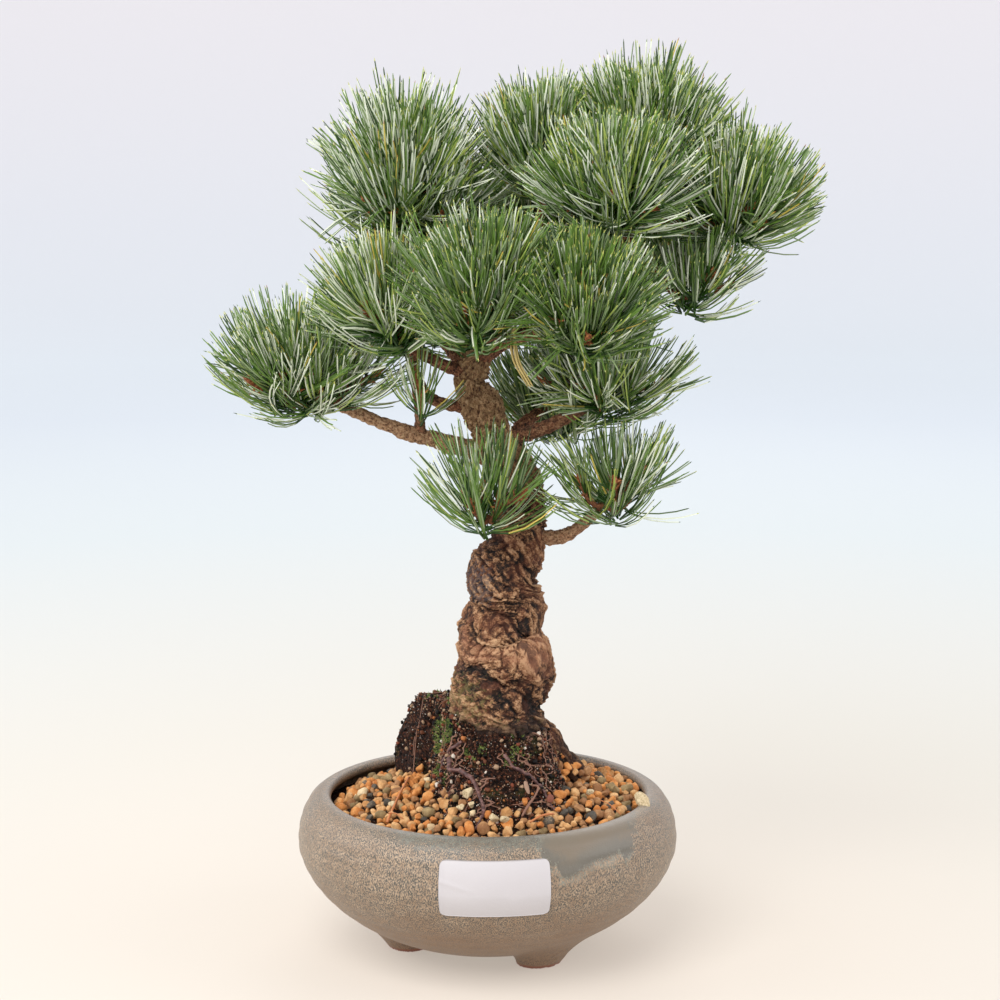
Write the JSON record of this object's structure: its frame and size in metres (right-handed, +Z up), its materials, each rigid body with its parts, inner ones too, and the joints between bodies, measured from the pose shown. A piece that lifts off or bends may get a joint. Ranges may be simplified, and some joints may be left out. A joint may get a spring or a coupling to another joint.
{
  "type": "japanese white pine bonsai in a round bowl pot",
  "caption": "Small informal upright pine bonsai with a twisted trunk, open pads of long needles and exposed root ball, growing in a round footed stoneware bowl with gravel on its soil.",
  "frame": {"origin": "middle of the footprint of the whole plant and its pot, on the surface that the pot's feet stand on", "axes": "+Z up, +X to the right as the front of the tree is seen, -Y towards the viewer"},
  "size_m": [0.278, 0.1876, 0.419],
  "materials": {
    "stoneware": "satin",
    "paper": "matte",
    "soil": "matte",
    "root_ball": "matte",
    "root": "matte",
    "gravel": "matte",
    "bark": "matte",
    "bough_bark": "matte",
    "needles": "satin"
  },
  "bodies": {
    "root": {"pot": "stoneware", "label": "paper", "soil": "soil", "root_ball": "root_ball", "front_root": "root", "left_root": "root", "right_root": "root", "gravel": "gravel", "trunk": "bark", "left_bough": "bough_bark", "left_spur": "bough_bark", "middle_left_bough": "bough_bark", "upper_left_bough": "bough_bark", "front_bough": "bough_bark", "front_right_bough": "bough_bark", "right_bough": "bough_bark", "lower_right_spur": "bough_bark", "top_left_bough": "bough_bark", "top_bough": "bough_bark", "top_front_bough": "bough_bark", "middle_right_bough": "bough_bark", "low_right_bough": "bough_bark", "low_front_bough": "bough_bark", "low_back_bough": "bough_bark", "back_left_bough": "bough_bark", "back_top_bough": "bough_bark", "back_right_bough": "bough_bark", "left_pad": "needles", "left_spur_tuft": "needles", "middle_left_pad": "needles", "upper_left_pad": "needles", "front_pad": "needles", "front_right_pad": "needles", "right_pad": "needles", "lower_right_pad": "needles", "top_left_pad": "needles", "top_pad": "needles", "top_front_pad": "needles", "middle_right_pad": "needles", "low_right_pad": "needles", "low_front_pad": "needles", "low_back_pad": "needles", "back_left_pad": "needles", "back_top_pad": "needles", "back_right_pad": "needles"}
  },
  "joints": []
}
